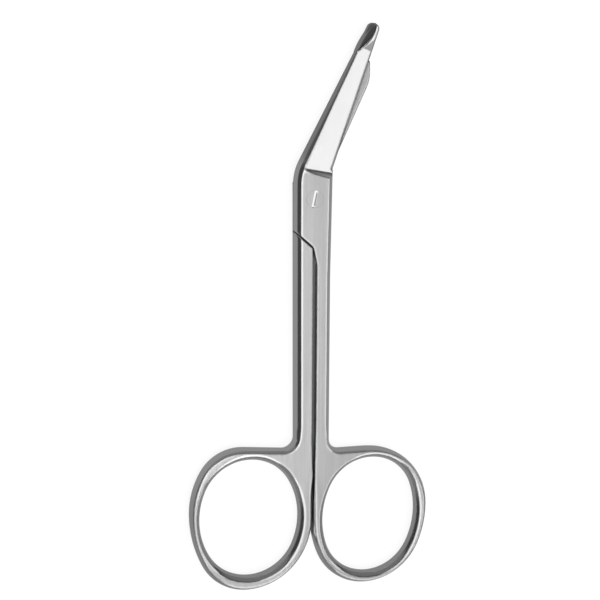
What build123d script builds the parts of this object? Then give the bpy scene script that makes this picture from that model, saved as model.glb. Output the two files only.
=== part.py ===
from build123d import *
import os
from math import asin, atan2, cos, degrees, radians, sin, tan

# Bandage scissors, closed and lying flat. +Y runs to the tip and +Z is up. The origin is on the pivot axis,
# at the plane that the scissors rest on. The halves meet at half height.
# Each half is drawn in its own frame: z = 0 is the plane where the halves meet, the blade is above that plane
# and the shank and bow are on the +X side. The blunt half is then turned over about Y, under the probe half.

# Main lengths: from the pivot down to the root of the bows, and of the blades' spines above their heels
shank_length = 63.0
probe_spine_length = 40.7
blunt_spine_length = 22.4
blunt_tip_length = 5.3

# Thickness of the forgings, and the radius of their rounded sides
box_thickness = 5.2
bow_thickness = 4.2
side_radius = 3.0
bore_side_radius = 2.3
bow_taper_rise = 6.0
bow_taper_drop = 3.0
bow_taper_bend = 14.0

# Side walls of the box and the shanks, seen from above
left_wall_x = 4.75
right_wall_x = 5.2
right_waist_x = 4.6
right_waist_y = -20.0
right_wall_at_bow_x = 4.35
bend_radius = 12.0
crotch_radius = 2.7

# Probe blade: heels of its spine and cutting edge, and the angles at which they and the nose lean toward +X
probe_heel_y = 6.6
probe_spine_lean = 28.3
probe_edge_lean = 19.4
probe_nose_lean = 116.6
probe_nose_radius = 1.55
probe_spine_radii = [bend_radius, 3.2]

# Blunt blade, as seen from its own outer side
blunt_heel_y = 7.8
blunt_edge_heel_y = 4.0
blunt_spine_lean = -25.2
blunt_tip_lean = 0.0
blunt_edge_lean = -29.3
blunt_nose_lean = 90.0
blunt_nose_radius = 1.4
blunt_spine_radii = [bend_radius, 8.0, 3.2]

# Grinding of the blades
stock_beside_edge = 4.8
stock_past_nose = 4.0
nose_clearance = 0.05
tip_side_radius = 1.7
tip_side_start = 3.2
tip_side_width = 4.0
flat_height = 2.45
flat_inset = 2.35
flat_start_y = 6.37
flat_start_angle = 12.2
flat_fall_across = 0.154
flat_fall_along = 0.036
wheel_radius = 1.5
bevel_angle = 57.0
hollow_radius = 45.0
hollow_start = 9.0
hollow_start_depth = 0.15
hollow_end_depth = 0.03

# Probe foot, the outer side of a blunt barrel along the spine, cut to an arc toward the cutting edge
foot_radius = 2.65
foot_bulge = 0.08
foot_length = 9.0
foot_end_rise = 0.45
foot_waist_drop = 6.0
foot_side_radius = 20.0
foot_rim_width = 2.02
foot_rim_radius = 10.4
foot_rim_drop = 2.4

# Lap shoulders and the gap between the shanks
shoulder_y = -7.8
shoulder_angle = 42.0
shoulder_corner_x = 0.3
shoulder_corner_radius = 1.0
shoulder_gap = 0.25
gap_top_y = -16.0
gap_waist_rise = 3.0
probe_inner_x = [0.62, 0.38, 0.12]
probe_inner_drop = 19.0
blunt_inner_x = [0.5, 0.7, -0.05]
blunt_inner_drop = 15.0
inner_bends = [4.0, 40.0, 40.0]
flank_x = -2.3
flank_rise = 6.0
flank_bow_rise = 7.0

# Bow of the probe half: the points of its outline that face up, out, down and in, with the radii of the arcs
# that start each stretch between them, and its finger hole
bow_root_y = -shank_length
probe_bow_corner_y = bow_root_y - 0.4
probe_bow_top = (13.0, bow_root_y - 0.5)
probe_bow_side = (30.3, bow_root_y - 16.6)
probe_bow_bottom = (14.2, bow_root_y - 36.1)
probe_bow_inner = (-0.3, bow_root_y - 18.2)
probe_bow_radii = [32.7, 26.1, 13.6]
probe_hole_centre = (15.0, bow_root_y - 18.3)
probe_hole_size = (24.4, 29.8)

# Bow of the blunt half
blunt_bow_corner_y = bow_root_y + 0.4
blunt_bow_top = (17.5, bow_root_y + 1.65)
blunt_bow_side = (31.5, bow_root_y - 14.6)
blunt_bow_bottom = (16.8, bow_root_y - 35.1)
blunt_bow_inner = (0.03, bow_root_y - 17.5)
blunt_bow_radii = [11.6, 29.7, 16.5]
blunt_hole_centre = (16.3, bow_root_y - 16.5)
blunt_hole_size = (25.4, 29.9)

hole_end_share = 0.945
hole_lean = -3.4

# Pivot screw
head_diameter = 4.2
head_height = 1.2
neck_diameter = 3.2
thread_diameter = 2.4
running_gap = 0.03
tail_recess = 0.1
slot_width = 0.9
slot_depth = 0.7
slot_lean = -12.2

# Worked out from the sizes above; reach is longer than any of the scissors' own lengths
mid_height = box_thickness / 2
rim_land = 0.02
blank_height = side_radius + rim_land
reach = 160.0


def lean_of(start, end):
    """The angle in degrees by which a line leans from +Y toward +X."""
    return degrees(atan2(end[0] - start[0], end[1] - start[1]))


def step(start, lean, distance):
    """The point at a distance from start along a leaning line."""
    return (start[0] + distance * sin(radians(lean)), start[1] + distance * cos(radians(lean)))


def crossing(first, first_lean, second, second_lean):
    """The point where two leaning lines cross."""
    turn = radians(first_lean - second_lean)
    apart = Vector(second[0] - first[0], second[1] - first[1])
    across = apart.X * cos(radians(second_lean)) - apart.Y * sin(radians(second_lean))
    return step(first, first_lean, across / sin(turn))


def two_arcs(start, end, start_way, end_way, start_radius):
    """A clockwise bend of two tangent arcs: the first has its radius given, the second ends along end_way."""
    start, end, start_way, end_way = Vector(start), Vector(end), Vector(start_way), Vector(end_way)
    start_centre = start + start_way.rotate(Axis.Z, -90) * start_radius
    end_inward = end_way.rotate(Axis.Z, -90)
    apart = end - start_centre
    end_radius = (start_radius**2 - apart.dot(apart)) / (2 * (apart.dot(end_inward) + start_radius))
    end_centre = end + end_inward * end_radius
    outward = (start_centre - end_centre).normalized() * (1 if end_radius > start_radius else -1)
    joint = start_centre + outward * start_radius
    TangentArc(start, joint, tangent=start_way)
    TangentArc(joint, end, tangent=-end_way, tangent_from_first=False)


def blank_face(spine, spine_radii, edge, free_wall_foot, shank_wall, bow):
    """The outline of a forging before it is ground, too wide past the cutting edge and the inner side."""
    bow_corner, bow_top, bow_side, bow_bottom, bow_inner, bow_radii = bow
    edge_lean = lean_of(*edge)
    stock_heel = step(edge[0], edge_lean + 90, stock_beside_edge)
    hip = step(stock_heel, edge_lean, stock_beside_edge)
    nose_lean = lean_of(spine[-1], edge[1])
    spine_end = step(spine[-1], lean_of(*spine[-2:]), stock_past_nose)
    nose_edge = crossing(stock_heel, edge_lean, spine_end, nose_lean)
    top_slope = (Vector(*bow_top) - Vector(*bow_corner)).normalized()
    corners = [
        (bow_inner, 0),
        ((bow_inner[0], bow_inner[1] + flank_bow_rise), 40.0),
        ((flank_x, bow_root_y + flank_rise), 60.0),
        ((flank_x, shoulder_y - 10.0), 2.0),
        (free_wall_foot, side_radius + 0.2),
        *zip([*spine[:-1], spine_end], spine_radii),
        (nose_edge, side_radius + 0.2),
        (hip, side_radius + 0.2),
        *shank_wall,
        (bow_corner, crotch_radius),
        (bow_top, 0),
    ]
    with BuildSketch() as face:
        with BuildLine():
            FilletPolyline(
                *[point for point, radius in corners], radius=[radius for point, radius in corners[1:-1]]
            )
            two_arcs(bow_top, bow_side, top_slope, (0, -1), bow_radii[0])
            two_arcs(bow_side, bow_bottom, (0, -1), (-1, 0), bow_radii[1])
            two_arcs(bow_bottom, bow_inner, (-1, 0), (0, 1), bow_radii[2])
        make_face()
    return face.sketch


def oval(width, height, end_radius):
    """An oval of tangent arcs with its long axis along Y."""
    with BuildSketch() as face:
        with BuildLine():
            two_arcs((0, height / 2), (width / 2, 0), (1, 0), (0, -1), end_radius)
            mirror(about=Plane.XZ)
            mirror(about=Plane.YZ)
        make_face()
    return face.sketch


def hole_plate(centre, size):
    """A wide plate with the finger hole, rounded toward the hole, and as thick as the blank around that."""
    end_radius = hole_end_share * size[0] / 2
    around = bore_side_radius + rim_land
    place = Location((*centre, 0), (0, 0, hole_lean))
    with BuildPart() as plate:
        with BuildSketch(Plane.XY.offset(-bore_side_radius - rim_land)):
            Circle(reach)
            with Locations(place):
                add(oval(*size, end_radius), mode=Mode.SUBTRACT)
        extrude(amount=2 * (bore_side_radius + rim_land))
        rims = plate.faces().filter_by(Axis.Z).edges().filter_by(lambda edge: edge.radius < reach)
        fillet(rims, radius=bore_side_radius)
        with BuildSketch(Plane.XY.offset(-blank_height)):
            Circle(reach)
            with Locations(place):
                add(
                    oval(size[0] + 2 * around, size[1] + 2 * around, end_radius + around),
                    mode=Mode.SUBTRACT,
                )
        extrude(amount=2 * blank_height)
    return plate.part


def thickness_slab():
    """The space between the two flat faces: full height at the box and shanks, lower at the bows."""
    box_half, bow_half = box_thickness / 2, bow_thickness / 2
    corners = [
        ((reach / 2, box_half), 0),
        ((bow_root_y + bow_taper_rise, box_half), bow_taper_bend),
        ((bow_root_y - bow_taper_drop, bow_half), bow_taper_bend),
        ((-reach, bow_half), 0),
    ]
    under = [((y, -z), radius) for (y, z), radius in reversed(corners)]
    outline = corners + under
    with BuildPart() as slab:
        with BuildSketch(Plane.YZ):
            with BuildLine():
                FilletPolyline(
                    *[point for point, radius in outline],
                    radius=[radius for point, radius in outline],
                    close=True,
                )
            make_face()
        extrude(amount=reach / 2, both=True)
    return slab.part


def shoulder_line_y(x):
    """How high the lap shoulder is at x: it falls from the side wall to the middle."""
    return shoulder_y - (left_wall_x - x) * tan(radians(shoulder_angle))


def inner_side(sides_x, drop):
    """The inner side of a shank, from the top of the gap past the narrowing to the bow."""
    heights = [gap_top_y, bow_root_y + gap_waist_rise, bow_root_y - drop]
    return list(zip(sides_x, heights))


def partner_room(side):
    """What the blade layer gives up to the partner's shank: all under the shoulder, past the inner side."""
    corner = (-shoulder_corner_x, shoulder_line_y(shoulder_corner_x))
    far = (-reach / 2, shoulder_line_y(reach / 2))
    foot = (side[-1][0], -reach)
    with BuildPart() as room:
        with BuildSketch():
            with BuildLine():
                FilletPolyline(
                    far,
                    corner,
                    *side,
                    foot,
                    (-reach / 2, -reach),
                    radius=[0, shoulder_corner_radius, *inner_bends, 0, 0],
                    close=True,
                )
            make_face()
        extrude(amount=box_thickness)
    return room.part


def shank_layer(side):
    """What a half has under the meeting plane is cut to this: its own shank and bow, below the shoulder."""
    drop = shoulder_gap / cos(radians(shoulder_angle))
    corner_x = shoulder_corner_x + shoulder_gap
    corner = (corner_x, shoulder_line_y(corner_x) - drop)
    far = (reach / 2, shoulder_line_y(reach / 2) - drop)
    with BuildPart() as layer:
        with BuildSketch():
            Rectangle(2 * reach, 2 * reach)
            with BuildLine():
                FilletPolyline(
                    far,
                    corner,
                    *side,
                    (side[-1][0], -reach),
                    (reach / 2, -reach),
                    radius=[0, shoulder_corner_radius, *inner_bends, 0, 0],
                    close=True,
                )
            make_face(mode=Mode.SUBTRACT)
        extrude(amount=-box_thickness)
    return layer.part


def spine_bar(spine, height):
    """The spine side of a blade from the bend to past the nose: a rounded bar that tapers towards the tip."""
    lean = lean_of(*spine)
    blade_length = (Vector(*spine[1]) - Vector(*spine[0])).length
    tip_height = tip_side_radius
    with BuildPart() as bar:
        for distance in (tip_side_start, blade_length + stock_past_nose):
            share = (distance - tip_side_start) / (blade_length - tip_side_start)
            radius = height + share * (tip_height - height)
            way = Vector(sin(radians(lean)), cos(radians(lean)))
            origin = Vector(*step(spine[0], lean, distance))
            with BuildSketch(Plane(origin=origin, x_dir=way.cross(Vector(0, 0, 1)), z_dir=way)):
                with Locations((radius, 0)):
                    Circle(radius)
                with Locations((radius, 0)):
                    Rectangle(tip_side_width - radius, 2 * radius, align=(Align.MIN, Align.CENTER))
        loft(ruled=True)
    return bar.part


def spine_room(spine):
    """The space that the tapered spine bar fills: a block along the spine."""
    lean = lean_of(*spine)
    way = Vector(sin(radians(lean)), cos(radians(lean)))
    with BuildPart() as room:
        with BuildSketch(
            Plane(
                origin=Vector(*step(spine[0], lean, tip_side_start)),
                x_dir=way.cross(Vector(0, 0, 1)),
                z_dir=way,
            )
        ):
            Rectangle(2 * tip_side_width, 4 * box_thickness)
        extrude(amount=reach / 2)
    return room.part


def nose_outline(spine, edge, radius):
    """All that is kept of a blade in plan: nothing past the nose, whose two corners are rounded."""
    spine_lean, edge_lean = lean_of(*spine[-2:]), lean_of(*edge)
    last_bend = step(spine[-2], spine_lean - 90, nose_clearance)
    nose_lean = lean_of(spine[-1], edge[1])
    edge_heel = step(edge[0], edge_lean + 90, nose_clearance)
    nose_start = crossing(last_bend, spine_lean, spine[-1], nose_lean)
    nose_end = crossing(edge_heel, edge_lean, spine[-1], nose_lean)
    with BuildPart() as outline:
        with BuildSketch(Plane.XY.offset(-box_thickness)):
            with BuildLine():
                FilletPolyline(
                    (-reach, -reach),
                    (-reach, 0),
                    last_bend,
                    nose_start,
                    nose_end,
                    edge_heel,
                    (reach, 0),
                    (reach, -reach),
                    radius=[0, 0, 0, radius, radius, 0, 0, 0],
                    close=True,
                )
            make_face()
        extrude(amount=2 * box_thickness)
    return outline.part


def ground_flat(spine, edge):
    """What the wheel takes off the outer face of a blade, from the step at the box to the tip."""
    axis_lean = radians((lean_of(*spine[:2]) + lean_of(*edge)) / 2)
    slope_x = -flat_fall_along * sin(axis_lean) - flat_fall_across * cos(axis_lean)
    slope_y = -flat_fall_along * cos(axis_lean) + flat_fall_across * sin(axis_lean)
    turn = radians(flat_start_angle if axis_lean < 0 else -flat_start_angle)
    start = (spine[0][0] + flat_inset, flat_start_y, flat_height)
    step_way = Vector(cos(turn), sin(turn), slope_x * cos(turn) + slope_y * sin(turn)).normalized()
    upward = Vector(-slope_x, -slope_y, 1).normalized()
    with BuildPart() as flat:
        with BuildSketch(Plane(origin=start, x_dir=upward.cross(step_way), z_dir=step_way)):
            with BuildLine():
                FilletPolyline(
                    (0, 0),
                    (reach / 2, 0),
                    (reach / 2, box_thickness),
                    (0, box_thickness),
                    radius=[wheel_radius, 0, 0, 0],
                    close=True,
                )
            make_face()
        extrude(amount=reach / 4, both=True)
    return flat.part


def edge_bevel(edge):
    """What is ground off beside the cutting edge: the stock, and the bevel that rises from the edge."""
    heel, tip = edge
    way = (Vector(*tip) - Vector(*heel)).normalized()
    length = (Vector(*tip) - Vector(*heel)).length
    run = box_thickness / tan(radians(bevel_angle))
    with BuildPart() as bevel:
        with BuildSketch(Plane(origin=(*heel, 0), x_dir=way.cross(Vector(0, 0, 1)), z_dir=way)):
            with BuildLine():
                Polyline(
                    (0, 0),
                    (-run, -box_thickness),
                    (4 * run, -box_thickness),
                    (4 * run, box_thickness),
                    (0, box_thickness),
                    close=True,
                )
            make_face()
        extrude(amount=length + stock_beside_edge)
    return bevel.part


def hollow(spine, edge):
    """The shallow hollow of a blade's inner face, so that the blades meet at their edges."""
    heel_middle = ((spine[0][0] + edge[0][0]) / 2, (spine[0][1] + edge[0][1]) / 2)
    tip_middle = ((spine[-1][0] + edge[1][0]) / 2, (spine[-1][1] + edge[1][1]) / 2)
    lean = lean_of(heel_middle, tip_middle)
    start = step(heel_middle, lean, hollow_start)
    axis_start = Vector(*start, hollow_start_depth - hollow_radius)
    axis_end = Vector(*tip_middle, hollow_end_depth - hollow_radius)
    with BuildPart() as wheel:
        with BuildSketch(Plane(origin=axis_start, z_dir=axis_end - axis_start)):
            Circle(hollow_radius)
        extrude(amount=reach / 2)
    return wheel.part


def forged_half(spine, spine_radii, edge, nose_radius, free_wall_foot, shank_wall, bow, hole, side):
    """One half of the scissors, without its screw hole, in its own frame."""
    with BuildPart() as half:
        with BuildSketch(Plane.XY.offset(-blank_height)):
            add(blank_face(spine, spine_radii, edge, free_wall_foot, shank_wall, bow))
        extrude(amount=2 * blank_height)
        fillet(half.faces().filter_by(Axis.Z).edges(), radius=side_radius)
        if len(spine) == 2:
            add(spine_room(spine), mode=Mode.SUBTRACT)
            add(spine_bar(spine, blank_height))
        add(hole_plate(*hole), mode=Mode.INTERSECT)
        add(thickness_slab(), mode=Mode.INTERSECT)
        add(partner_room(side), mode=Mode.SUBTRACT)
        add(shank_layer(side), mode=Mode.SUBTRACT)
        add(ground_flat(spine, edge), mode=Mode.SUBTRACT)
        add(edge_bevel(edge), mode=Mode.SUBTRACT)
        add(nose_outline(spine, edge, nose_radius), mode=Mode.INTERSECT)
        add(hollow(spine, edge), mode=Mode.SUBTRACT)
    return half.part


# Corners of the blades' spines and cutting edges
probe_heel = (-left_wall_x, probe_heel_y)
probe_edge_heel = (right_wall_x, probe_heel_y)
probe_nose = step(probe_heel, probe_spine_lean, probe_spine_length)
probe_spine = [probe_heel, probe_nose]
probe_edge = [
    probe_edge_heel,
    crossing(probe_edge_heel, probe_edge_lean, probe_nose, probe_nose_lean),
]
blunt_heel = (-right_wall_x, blunt_heel_y)
blunt_edge_heel = (left_wall_x, blunt_edge_heel_y)
blunt_belly = step(blunt_heel, blunt_spine_lean, blunt_spine_length)
blunt_nose = step(blunt_belly, blunt_tip_lean, blunt_tip_length)
blunt_spine = [blunt_heel, blunt_belly, blunt_nose]
blunt_edge = [
    blunt_edge_heel,
    crossing(blunt_edge_heel, blunt_edge_lean, blunt_nose, blunt_nose_lean),
]

# Probe foot, with its barrel's own axis upright beside it and the nose of the spine at the origin
foot_side_sweep = degrees(asin((foot_length - foot_waist_drop) / foot_side_radius))
foot_back_x = foot_side_radius * (1 - cos(radians(foot_side_sweep)))
with BuildPart() as probe_foot:
    with BuildSketch():
        with BuildLine():
            ThreePointArc(
                (foot_back_x, -foot_length),
                (
                    foot_side_radius * (1 - cos(radians(foot_side_sweep / 2))),
                    -foot_waist_drop - foot_side_radius * sin(radians(foot_side_sweep / 2)),
                ),
                (0, -foot_waist_drop),
            )
            two_arcs(
                (0, -foot_waist_drop), (foot_radius, foot_end_rise), (0, 1), (1, 0), foot_side_radius
            )
            Polyline((foot_radius, foot_end_rise), (foot_radius, -foot_length), (foot_back_x, -foot_length))
        make_face()
    revolve(axis=Axis((foot_radius, 0, 0), (0, 1, 0)))
    with BuildSketch(Plane.XY.offset(-foot_radius)):
        with Locations((foot_rim_width - foot_rim_radius, -foot_rim_drop)):
            Circle(foot_rim_radius)
    extrude(amount=2 * foot_radius, mode=Mode.INTERSECT)

# Probe half: the upper layer, with the counterbored seat of the screw's head
foot_place = step(probe_nose, probe_spine_lean - 90, foot_bulge)
with BuildPart() as probe_blade_half:
    with Locations((0, 0, mid_height)):
        add(
            forged_half(
                probe_spine,
                probe_spine_radii,
                probe_edge,
                probe_nose_radius,
                (-left_wall_x, shoulder_y - 6.0),
                [((right_wall_x, probe_edge[0][1] + 0.2), 1.0), ((right_waist_x, right_waist_y), 60.0)],
                [
                    (right_wall_at_bow_x, probe_bow_corner_y),
                    probe_bow_top,
                    probe_bow_side,
                    probe_bow_bottom,
                    probe_bow_inner,
                    probe_bow_radii,
                ],
                (probe_hole_centre, probe_hole_size),
                inner_side(probe_inner_x, probe_inner_drop),
            )
        )
    with Locations(Location((*foot_place, mid_height), (0, 0, -probe_spine_lean))):
        add(probe_foot.part)
    with Locations((0, 0, box_thickness)):
        CounterBoreHole(
            neck_diameter / 2 + running_gap, head_diameter / 2 + running_gap, head_height + running_gap
        )
probe_blade_half.part.label = "probe_blade_half"

# Blunt half: the lower layer, tapped for the screw
with BuildPart() as blunt_blade_half:
    with Locations(Location((0, 0, mid_height), (0, 180, 0))):
        add(
            forged_half(
                blunt_spine,
                blunt_spine_radii,
                blunt_edge,
                blunt_nose_radius,
                (-right_waist_x, shoulder_y - 6.0),
                [((left_wall_x, blunt_edge[0][1] + 0.2), 1.0)],
                [
                    (left_wall_x, blunt_bow_corner_y),
                    blunt_bow_top,
                    blunt_bow_side,
                    blunt_bow_bottom,
                    blunt_bow_inner,
                    blunt_bow_radii,
                ],
                (blunt_hole_centre, blunt_hole_size),
                inner_side(blunt_inner_x, blunt_inner_drop),
            )
        )
    with Locations((0, 0, mid_height)):
        Hole(thread_diameter / 2)
blunt_blade_half.part.label = "blunt_blade_half"

# Pivot screw: slotted head flush with the probe half, neck that the half turns on, thread in the blunt half
with BuildPart() as pivot_screw:
    with BuildSketch(Plane.XZ):
        with BuildLine():
            Polyline(
                (0, tail_recess),
                (thread_diameter / 2, tail_recess),
                (thread_diameter / 2, mid_height),
                (neck_diameter / 2, mid_height),
                (neck_diameter / 2, box_thickness - head_height),
                (head_diameter / 2, box_thickness - head_height),
                (head_diameter / 2, box_thickness),
                (0, box_thickness),
                close=True,
            )
        make_face()
    revolve(axis=Axis.Z)
    with Locations(Location((0, 0, box_thickness), (0, 0, slot_lean))):
        Box(slot_width, head_diameter, 2 * slot_depth, mode=Mode.SUBTRACT)
pivot_screw.part.label = "pivot_screw"

os.makedirs("parts", exist_ok=True)
export_step(probe_blade_half.part, "parts/probe_blade_half.step")
export_step(blunt_blade_half.part, "parts/blunt_blade_half.step")
export_step(pivot_screw.part, "parts/pivot_screw.step")
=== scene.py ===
import math

import bpy
from mathutils import Matrix, Vector

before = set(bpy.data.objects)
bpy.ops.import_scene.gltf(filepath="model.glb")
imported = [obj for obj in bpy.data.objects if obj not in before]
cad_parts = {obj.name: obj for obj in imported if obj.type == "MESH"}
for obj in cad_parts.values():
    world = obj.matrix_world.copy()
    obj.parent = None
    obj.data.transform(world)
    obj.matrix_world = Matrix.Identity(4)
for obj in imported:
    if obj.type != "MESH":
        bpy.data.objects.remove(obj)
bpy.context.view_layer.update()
MM = 0.001

# Camera: the photograph looks from a little left of the scissors and a little from the side of the tip
AIM = Vector((-2.97, -25.17, 2.6)) * MM
LEFT_LEAN = math.radians(17.0)
TIP_LEAN = math.radians(11.5)
CAMERA_DISTANCE = 500 * MM
LENS = 122.46
SENSOR = 36.0

# Floor: a pale sheet just under the scissors that glows a little; the polished walls mirror it darker
FLOOR_SIZE = 3.0
FLOOR_DROP = 0.03 * MM
FLOOR_COLOR = 0.15
FLOOR_GLOW = 0.88
FLOOR_MIRRORED = 0.33

# Studio walls as the steel mirrors them: dark beside the scissors, grey past the tip and the bows, pale if seen
WALL_FOOT = 0.32
WALL_BESIDE = 0.06
WALL_PAST_ENDS = 0.22
WALL_SEEN = 0.9
WALL_FOOT_BLUR = 0.03
WALL_ENDS_FROM = 0.35
WALL_ENDS_FULL = 0.65

# Steel: its colour, and the roughness of each finish
STEEL_COLOR = (0.775, 0.775, 0.775)
WALL_ROUGHNESS = 0.12
FACE_ROUGHNESS = 0.28
BLADE_ROUGHNESS = 0.14
RUN_OUT_ROUGHNESS = 0.55
GRAIN_ROUGHENING = 0.14
CLOUD_ROUGHENING = 0.05

# Brushed grain along the scissors, and the soft clouds that hand polishing leaves
GRAIN_SCALE = (1100, 30, 300)
GRAIN_DETAIL = 5.0
GRAIN_FINE_SHARE = 0.7
GRAIN_DEPTH = 0.02 * MM
GRAIN_STRENGTH = 0.6
GRAIN_LEFT_ON_BLADE = 0.2
CLOUD_SCALE = 130.0
CLOUD_DETAIL = 3.0

# A face counts as level from the first to the second of these upward shares of its normal
LEVEL_FROM = 0.93
LEVEL_FULL = 0.97

# Rounded edges: their radii, and the upward shares where an edge's polish gives way to the brushed face
EDGE_RADIUS = 0.75 * MM
BOW_EDGE_RADIUS = 1.0 * MM
BOW_EDGE_BLEND = 6 * MM
EDGE_SAMPLES = 8
EDGE_POLISH_FROM = 0.975
EDGE_POLISH_END = 0.996
EDGE_FLAT_FROM = 0.993
EDGE_FLAT_FULL = 0.998

# Pivot screw: the flush head, the floor of its slot and the painted shade that draws a dark line round the slot
SCREW_RADIUS = 2.1 * MM
OFF_SCREW_FROM = SCREW_RADIUS + 0.3 * MM
OFF_SCREW_FULL = SCREW_RADIUS + 0.6 * MM
SLOT_FLOOR_Z = 4.8 * MM
SLOT_BLUR = 0.1 * MM
SLOT_RIM_REACH = 1.6 * MM
SLOT_RIM_PAINTED_SHADE = 0.02
SLOT_RIM_CLOSED = 0.4
SLOT_RIM_OPEN = 0.8

# Seams and the gap between the shanks: painted shade, dark where another wall stands close
SEAM_DEPTH = 0.6 * MM
SEAM_POWER = 2.2
GAP_DEPTH = 1.6 * MM
GAP_PAINTED_SHADE = 0.05
GAP_CLOSED = 0.35
GAP_OPEN = 0.8
UPRIGHT_FROM = 0.8
UPRIGHT_FULL = 0.95

# Tone of the steel: streaks, painted shade that falls from left to right, and painted shade that makes the
# bows, the spine, the run-out wedge and the leaf on the foot darker
STREAK_DEPTH = 0.34
STREAK_BASE = 0.84
FACE_HALF_WIDTH = 5 * MM
FACE_RIGHT_PAINTED_SHADE = 0.92
BLADE_CLOUD_DEPTH = 0.16
BLADE_CLOUD_BASE = 0.93
BOW_TOP_Y = -66.0 * MM
BOW_TONE_BLEND = 15 * MM
BOW_PAINTED_SHADE = 0.84
SPINE_PAINTED_SHADE = 0.68
SPINE_TONE_Y = 8.0 * MM
SPINE_TONE_BLEND = 4 * MM
LEAF_UPWARD = 0.45
LEAF_UPWARD_BLUR = 0.15
LEAF_Y = 36.0 * MM
LEAF_Y_BLUR = 0.3 * MM
LEAF_PAINTED_SHADE = 0.48
RUN_OUT_PAINTED_SHADE = 0.75

# The step at the box, where the satin of the outer face ends and the ground blade begins: a point and a slope
STEP_X = -1.5 * MM
STEP_Y = 6.4 * MM
STEP_SLOPE = -0.24
STEP_BLUR = 0.1 * MM

# Where the wheel ran out beside the foot: a wedge that opens from a point toward the cutting edge, rougher and
# darkened with painted shade
RUN_OUT_X = 12.6 * MM
RUN_OUT_Y = 35.9 * MM
RUN_OUT_UPPER_SLOPE = 0.7
RUN_OUT_LOWER_SLOPE = -0.44
RUN_OUT_BLUR = 0.25 * MM


def camera_axes():
    """Image right, image up and the way back to the camera, for the photograph's viewing angle."""
    right = Vector((math.cos(LEFT_LEAN), 0, math.sin(LEFT_LEAN)))
    up = Vector((
        math.sin(LEFT_LEAN) * math.sin(TIP_LEAN),
        math.cos(TIP_LEAN),
        -math.cos(LEFT_LEAN) * math.sin(TIP_LEAN),
    ))
    return right, up, right.cross(up)


def add_camera():
    right, up, back = camera_axes()
    bpy.ops.object.camera_add(location=AIM + back * CAMERA_DISTANCE)
    camera = bpy.context.object
    camera.rotation_euler = Matrix((right, up, back)).transposed().to_euler()
    camera.data.lens = LENS
    camera.data.sensor_width = SENSOR
    camera.data.clip_start = 0.01
    bpy.context.scene.camera = camera


def softbox(name, direction, size, radiance, distance=1.0):
    """A lamp that faces the scissors: its size is given across and along them, its light as a radiance."""
    way = Vector(direction).normalized()
    bpy.ops.object.light_add(type="AREA", location=AIM + way * distance)
    lamp = bpy.context.object
    lamp.name = name
    across = Vector((0, 1, 0)).cross(way).normalized()
    lamp.rotation_euler = Matrix((across, way.cross(across), way)).transposed().to_euler()
    lamp.data.shape = "RECTANGLE"
    lamp.data.size, lamp.data.size_y = size
    lamp.data.energy = radiance * math.pi * size[0] * size[1]
    return lamp


class Nodes:
    """A short way to add and link the nodes of a material or of the world."""

    def __init__(self, tree):
        self.tree = tree
        self.tree.nodes.clear()

    def add(self, kind, inputs=None, **settings):
        node = self.tree.nodes.new(kind)
        for key, value in settings.items():
            setattr(node, key, value)
        for key, value in (inputs or {}).items():
            if isinstance(value, bpy.types.NodeSocket):
                self.tree.links.new(value, node.inputs[key])
            else:
                node.inputs[key].default_value = value
        return node

    def math(self, operation, *values):
        return self.add("ShaderNodeMath", dict(enumerate(values)), operation=operation).outputs[0]

    def multiply(self, first, *others):
        product = first
        for other in others:
            product = self.math("MULTIPLY", product, other)
        return product

    def size_of(self, value):
        return self.math("ABSOLUTE", value)

    def ramp(self, value, low, high, bottom=0.0, top=1.0):
        """Runs smoothly from bottom to top while the value goes from low to high."""
        inputs = {0: value, 1: low, 2: high, 3: bottom, 4: top}
        return self.add("ShaderNodeMapRange", inputs, interpolation_type="SMOOTHSTEP").outputs[0]

    def mix(self, share, without, full):
        """The first value where the share is nought, the second where it is one."""
        return self.add("ShaderNodeMix", {0: share, 2: without, 3: full}).outputs[0]

    def split(self, vector):
        return self.add("ShaderNodeSeparateXYZ", {0: vector}).outputs

    def openness(self, depth):
        """One in the open, less where another surface stands nearer than the depth."""
        node = self.add("ShaderNodeAmbientOcclusion", {"Distance": depth}, samples=EDGE_SAMPLES)
        return node.outputs["AO"]


def add_floor():
    bpy.ops.mesh.primitive_plane_add(size=FLOOR_SIZE, location=(0, 0, -FLOOR_DROP))
    floor = bpy.context.object
    floor.name = "floor"
    material = bpy.data.materials.new("pale_floor")
    material.use_nodes = True
    n = Nodes(material.node_tree)
    ray = n.add("ShaderNodeLightPath").outputs
    sheet = n.add("ShaderNodeBsdfDiffuse", {"Color": (FLOOR_COLOR, FLOOR_COLOR, FLOOR_COLOR, 1)}).outputs[0]
    glow = n.add("ShaderNodeEmission", {"Strength": n.math("MULTIPLY", ray["Is Camera Ray"], FLOOR_GLOW)})
    seen = n.add("ShaderNodeAddShader", {0: sheet, 1: glow.outputs[0]}).outputs[0]
    mirrored = n.add("ShaderNodeEmission", {"Strength": FLOOR_MIRRORED}).outputs[0]
    surface = n.add("ShaderNodeMixShader", {0: ray["Is Glossy Ray"], 1: seen, 2: mirrored}).outputs[0]
    n.add("ShaderNodeOutputMaterial", {"Surface": surface})
    floor.data.materials.append(material)


def add_world():
    world = bpy.data.worlds.new("studio")
    world.use_nodes = True
    n = Nodes(world.node_tree)
    way = n.split(n.add("ShaderNodeTexCoord").outputs["Generated"])
    tone = n.ramp(way["Z"], -WALL_FOOT_BLUR, WALL_FOOT_BLUR, WALL_FOOT, WALL_BESIDE)
    tone = n.ramp(n.size_of(way["Y"]), WALL_ENDS_FROM, WALL_ENDS_FULL, tone, WALL_PAST_ENDS)
    tone = n.mix(n.add("ShaderNodeLightPath").outputs["Is Camera Ray"], tone, WALL_SEEN)
    light = n.add("ShaderNodeBackground", {"Color": tone, "Strength": 1.0}).outputs[0]
    n.add("ShaderNodeOutputWorld", {"Surface": light})
    bpy.context.scene.world = world


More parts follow.
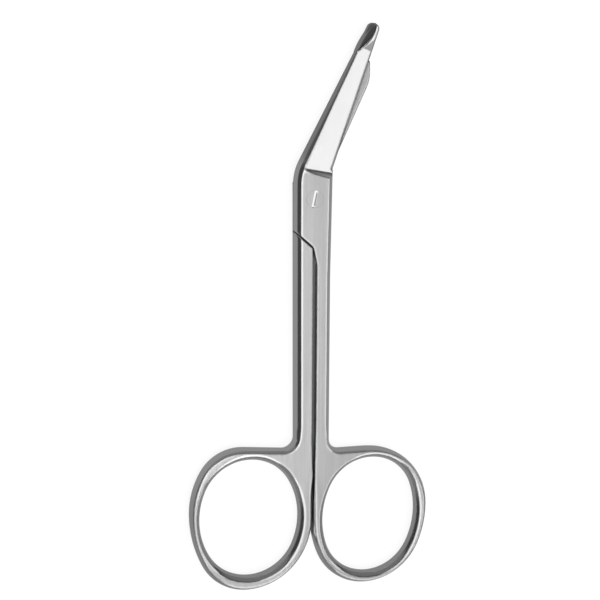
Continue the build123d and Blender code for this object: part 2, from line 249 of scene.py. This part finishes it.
class Steel(Nodes):
    """Stainless steel: brushed flat faces, polished side walls and a mirror-ground blade past the step."""

    def __init__(self, tree, outer_side):
        super().__init__(tree)
        coords = self.add("ShaderNodeTexCoord").outputs
        self.coords = coords["Object"]
        self.place = self.split(coords["Object"])
        self.facing = self.split(coords["Normal"])
        self.steepness = self.size_of(self.facing["Z"])
        self.level = self.ramp(self.steepness, LEVEL_FROM, LEVEL_FULL)
        self.blade = self.ground_blade(outer_side)
        self.wedge = self.multiply(self.blade, self.run_out())
        self.from_pivot = self.distance_from_pivot()
        self.off_screw = self.ramp(self.from_pivot, OFF_SCREW_FROM, OFF_SCREW_FULL)
        self.grain = self.brushed_grain()
        self.cloud = self.polish_clouds()
        self.edge = self.rounded_edge()
        self.edge_upward = self.split(self.edge)["Z"]
        self.brushed = self.multiply(
            self.level, self.math("MULTIPLY_ADD", self.blade, GRAIN_LEFT_ON_BLADE - 1.0, 1.0)
        )

    def ground_blade(self, outer_side):
        """One on the blade's ground outer face, past the step."""
        outer = self.ramp(self.math("MULTIPLY", self.facing["Z"], outer_side), 0.0, 0.1)
        step_y = self.math("MULTIPLY_ADD", self.place["X"], STEP_SLOPE, STEP_Y - STEP_X * STEP_SLOPE)
        past_step = self.ramp(self.math("SUBTRACT", self.place["Y"], step_y), -STEP_BLUR, STEP_BLUR)
        return self.multiply(past_step, self.multiply(self.level, outer))

    def run_out(self):
        """One inside the wedge beside the foot."""
        across = self.math("SUBTRACT", self.place["X"], RUN_OUT_X)
        upper = self.math("MULTIPLY_ADD", across, RUN_OUT_UPPER_SLOPE, RUN_OUT_Y)
        lower = self.math("MULTIPLY_ADD", across, RUN_OUT_LOWER_SLOPE, RUN_OUT_Y)
        below_upper = self.math("SUBTRACT", upper, self.place["Y"])
        above_lower = self.math("SUBTRACT", self.place["Y"], lower)
        return self.ramp(self.math("MINIMUM", below_upper, above_lower), 0.0, RUN_OUT_BLUR)

    def distance_from_pivot(self):
        across = self.math("MULTIPLY", self.place["X"], self.place["X"])
        along = self.math("MULTIPLY", self.place["Y"], self.place["Y"])
        return self.math("SQRT", self.math("ADD", across, along))

    def brushed_grain(self):
        stretched = self.add("ShaderNodeMapping", {"Vector": self.coords, "Scale": GRAIN_SCALE}).outputs[0]
        inputs = {"Vector": stretched, "Scale": 1.0, "Detail": GRAIN_DETAIL, "Roughness": GRAIN_FINE_SHARE}
        return self.add("ShaderNodeTexNoise", inputs).outputs["Fac"]

    def polish_clouds(self):
        inputs = {"Vector": self.coords, "Scale": CLOUD_SCALE, "Detail": CLOUD_DETAIL}
        return self.add("ShaderNodeTexNoise", inputs).outputs["Fac"]

    def rounded_edge(self):
        """The normal with the edges rounded, more on the bows, and none at the screw."""
        bow_from = BOW_TOP_Y - BOW_EDGE_BLEND
        bow_to = BOW_TOP_Y + BOW_EDGE_BLEND
        radius = self.ramp(self.place["Y"], bow_from, bow_to, BOW_EDGE_RADIUS, EDGE_RADIUS)
        radius = self.multiply(radius, self.off_screw)
        return self.add("ShaderNodeBevel", {"Radius": radius}, samples=EDGE_SAMPLES).outputs[0]

    def roughness(self):
        face = self.math("MULTIPLY_ADD", self.grain, GRAIN_ROUGHENING, FACE_ROUGHNESS)
        slot = self.ramp(self.place["Z"], SLOT_FLOOR_Z, SLOT_FLOOR_Z + SLOT_BLUR, WALL_ROUGHNESS, face)
        face = self.ramp(self.from_pivot, SCREW_RADIUS, SCREW_RADIUS + SLOT_BLUR, slot, face)
        lying = self.ramp(self.size_of(self.edge_upward), EDGE_POLISH_FROM, EDGE_POLISH_END)
        finish = self.mix(lying, WALL_ROUGHNESS, face)
        finish = self.mix(self.blade, finish, BLADE_ROUGHNESS)
        finish = self.mix(self.wedge, finish, RUN_OUT_ROUGHNESS)
        finish = self.math("SUBTRACT", finish, CLOUD_ROUGHENING / 2)
        return self.math("MULTIPLY_ADD", self.cloud, CLOUD_ROUGHENING, finish)

    def normal(self):
        """Rounded edges round faces that mirror as dead flat ones, with the brushed grain on top."""
        straight = self.add("ShaderNodeCombineXYZ", {"Z": self.math("SIGN", self.edge_upward)}).outputs[0]
        flat = self.ramp(self.size_of(self.edge_upward), EDGE_FLAT_FROM, EDGE_FLAT_FULL)
        flat = self.multiply(flat, self.math("SUBTRACT", 1.0, self.blade))
        edge = self.add("ShaderNodeMix", {0: flat, 4: self.edge, 5: straight}, data_type="VECTOR").outputs[1]
        strength = self.math("MULTIPLY", self.brushed, GRAIN_STRENGTH)
        inputs = {"Strength": strength, "Distance": GRAIN_DEPTH, "Height": self.grain, "Normal": edge}
        return self.add("ShaderNodeBump", inputs).outputs[0]

    def painted_seam_shade(self):
        """Painted shade: dark in the seams, round the slot of the screw and deep in the gap between the shanks.
        """
        near = self.openness(SEAM_DEPTH)
        # painted shade: a dark line round the slot of the screw
        rim = self.ramp(near, SLOT_RIM_CLOSED, SLOT_RIM_OPEN, SLOT_RIM_PAINTED_SHADE, 1.0)
        rim = self.ramp(self.from_pivot, SLOT_RIM_REACH, SLOT_RIM_REACH + SLOT_BLUR, rim, 1.0)
        # painted shade in the seams, away from the screw
        seam = self.mix(self.off_screw, rim, self.math("POWER", near, SEAM_POWER))
        # painted shade deep in the gap between the shanks, on upright walls
        gap = self.ramp(self.openness(GAP_DEPTH), GAP_CLOSED, GAP_OPEN, GAP_PAINTED_SHADE, 1.0)
        upright = self.ramp(self.math("SUBTRACT", 1.0, self.steepness), UPRIGHT_FROM, UPRIGHT_FULL)
        return self.multiply(seam, self.mix(self.multiply(self.off_screw, upright), 1.0, gap))

    def streaks(self):
        """Fine lengthwise streaks on the brushed faces, with painted shade that makes them a little darker to
        the right.
        """
        # painted shade: the brushed faces a little darker to the right
        painted_side_shade = self.ramp(self.place["X"], -FACE_HALF_WIDTH, FACE_HALF_WIDTH, 1.0, FACE_RIGHT_PAINTED_SHADE)
        lines = self.math("MULTIPLY_ADD", self.grain, STREAK_DEPTH, STREAK_BASE)
        return self.mix(self.brushed, 1.0, self.multiply(painted_side_shade, lines))

    def clouds_and_painted_shade(self):
        """Painted shade makes the bows and the spine darker than the shanks and the run-out wedge darker, and
        the blade is a little clouded.
        """
        # painted shade: the bows darker
        bow = self.ramp(self.place["Y"], BOW_TOP_Y - BOW_TONE_BLEND, BOW_TOP_Y, BOW_PAINTED_SHADE, 1.0)
        # painted shade: the side walls of the spine darker
        spine = self.ramp(self.place["Y"], SPINE_TONE_Y, SPINE_TONE_Y + SPINE_TONE_BLEND, 1.0, SPINE_PAINTED_SHADE)
        spine = self.mix(self.level, spine, 1.0)
        clouded = self.math("MULTIPLY_ADD", self.cloud, BLADE_CLOUD_DEPTH, BLADE_CLOUD_BASE)
        clouded = self.mix(self.blade, 1.0, clouded)
        # painted shade: the run-out wedge darker
        wedge = self.math("MULTIPLY_ADD", self.wedge, RUN_OUT_PAINTED_SHADE - 1.0, 1.0)
        return self.multiply(bow, spine, clouded, wedge)

    def painted_leaf_shade(self):
        """Painted shade makes the sloping leaf on top of the foot dark."""
        upward = self.facing["Z"]
        sloping = self.ramp(upward, LEAF_UPWARD, LEAF_UPWARD + LEAF_UPWARD_BLUR)
        sloping = self.multiply(sloping, self.ramp(upward, LEVEL_FROM, LEVEL_FULL, 1.0, 0.0))
        leaf = self.multiply(sloping, self.ramp(self.place["Y"], LEAF_Y, LEAF_Y + LEAF_Y_BLUR))
        # painted shade: the leaf of the foot darker
        return self.math("MULTIPLY_ADD", leaf, LEAF_PAINTED_SHADE - 1.0, 1.0)

    def color(self):
        # the tone puts painted shade (seams, slot rim, gap, right side, bows, spine, run-out wedge, leaf) on
        # the steel, with its brushed streaks and clouds
        tone = self.multiply(self.painted_seam_shade(), self.streaks(), self.clouds_and_painted_shade(), self.painted_leaf_shade())
        return self.add("ShaderNodeVectorMath", {0: STEEL_COLOR, "Scale": tone}, operation="SCALE").outputs[0]

    def finish(self):
        inputs = {"Metallic": 1.0}
        inputs["Base Color"] = self.color()
        inputs["Roughness"] = self.roughness()
        inputs["Normal"] = self.normal()
        surface = self.add("ShaderNodeBsdfPrincipled", inputs).outputs[0]
        self.add("ShaderNodeOutputMaterial", {"Surface": surface})


def dress(node, outer_side):
    """Puts the steel on a piece; outer_side is 1 where the piece's outer face looks up, and -1 where down."""
    material = bpy.data.materials.new(node + "_steel")
    material.use_nodes = True
    Steel(material.node_tree, outer_side).finish()
    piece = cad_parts[node]
    piece.data.materials.clear()
    piece.data.materials.append(material)


def add_lamps():
    """Soft boxes; a gap between two of them keeps the brushed faces grey while their edges come out white."""
    floor_light = softbox("floor_light", (0.1, 0.1, 1), (2.2, 2.2), 1.15, distance=1.2)
    floor_light.visible_glossy = False
    softbox("overhead_box", (-0.2, -0.2, 0.95), (0.84, 0.9), 1.38)
    softbox("blade_box", (0.595, -0.15, 0.79), (0.28, 0.6), 1.1)
    softbox("right_box", (0.79, -0.2, 0.58), (0.26, 0.9), 1.2)
    softbox("bow_box", (0.29, -0.78, 0.55), (0.7, 0.5), 1.25)
    softbox("slot_light", (0.29, -0.13, 0.94), (0.14, 0.14), 1.4)
    side_card = softbox("side_card", (0.96, -0.2, 0.115), (0.2, 1.0), 0.35)
    side_card.visible_diffuse = False


add_camera()
add_floor()
add_world()
add_lamps()
dress("probe_blade_half", 1.0)
dress("blunt_blade_half", -1.0)
dress("pivot_screw", 1.0)
bpy.context.scene.view_settings.view_transform = "Standard"
